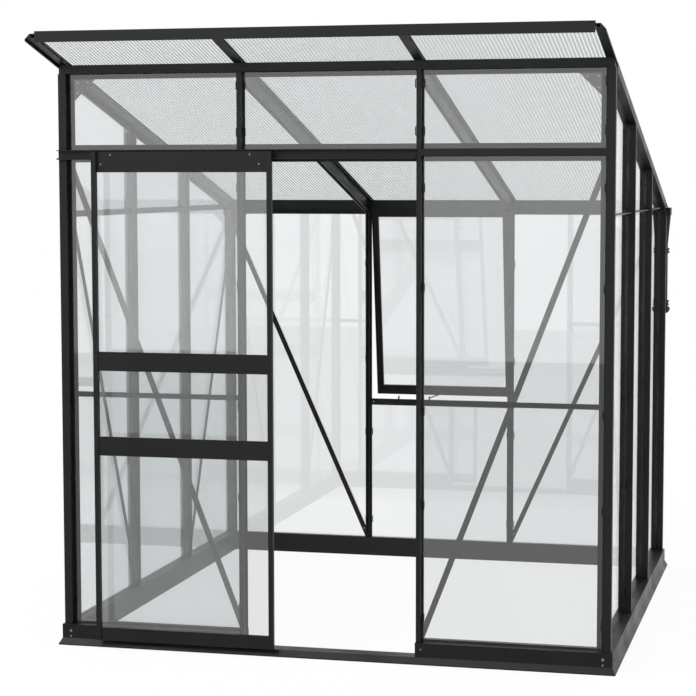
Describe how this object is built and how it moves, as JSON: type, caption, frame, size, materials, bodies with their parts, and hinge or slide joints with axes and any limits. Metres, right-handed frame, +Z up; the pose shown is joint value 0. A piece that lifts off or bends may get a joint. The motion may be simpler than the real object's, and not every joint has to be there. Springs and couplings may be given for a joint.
{
  "type": "glass greenhouse",
  "caption": "Free-standing glass greenhouse with a dark metal frame, single-slope twin-wall roof, hung sliding door, open rear window, gutter and downpipe.",
  "frame": {"origin": "bottom centre of the bounding box, on the ground plane the base rests on", "axes": "+X to the right along the front wall as seen from outside, +Y from the front wall to the rear, +Z up"},
  "size_m": [1.966, 2.317, 2.13],
  "materials": {
    "frame_paint": "satin powder coat",
    "clear_glass": "clear",
    "roof_sheet": "clear twin-wall sheet",
    "pipe_plastic": "matt",
    "roller_plastic": "smooth"
  },
  "bodies": {
    "frame": {"base_front": "frame_paint", "base_rear": "frame_paint", "base_left": "frame_paint", "base_right": "frame_paint", "post_front_left": "frame_paint", "post_front_right": "frame_paint", "post_rear_left": "frame_paint", "post_rear_right": "frame_paint", "front_mullions": "frame_paint", "rear_mullions": "frame_paint", "left_mullions": "frame_paint", "right_mullions": "frame_paint", "front_eave_beam": "frame_paint", "rear_eave_beam": "frame_paint", "door_header": "frame_paint", "door_track": "frame_paint", "front_rails": "frame_paint", "left_rail": "frame_paint", "right_rail": "frame_paint", "window_sill_rail": "frame_paint", "front_braces": "frame_paint", "rear_braces": "frame_paint", "left_braces": "frame_paint", "right_braces": "frame_paint", "corner_gussets": "frame_paint", "rafter_left_end": "frame_paint", "rafter_right_end": "frame_paint", "inner_rafters": "frame_paint", "roof_sheet_left": "roof_sheet", "roof_sheet_middle": "roof_sheet", "roof_sheet_right": "roof_sheet", "roof_front_edge": "frame_paint", "gutter": "frame_paint", "downpipe": "pipe_plastic", "front_glass": "clear_glass", "transom_glass": "clear_glass", "rear_glass": "clear_glass", "left_glass": "clear_glass", "right_glass": "clear_glass", "window_rails": "frame_paint", "window_stiles": "frame_paint", "window_glass": "clear_glass", "window_stay": "frame_paint"},
    "door": {"door_stiles": "frame_paint", "door_head_plate": "frame_paint", "door_mid_rails": "frame_paint", "door_kick_plate": "frame_paint", "door_glass": "clear_glass", "door_rollers": "roller_plastic"}
  },
  "joints": [
    {"name": "door_slide", "type": "slide", "parent": "frame", "child": "door", "axis": [1, 0, 0], "range_m": [-0.09, 0.505]}
  ]
}
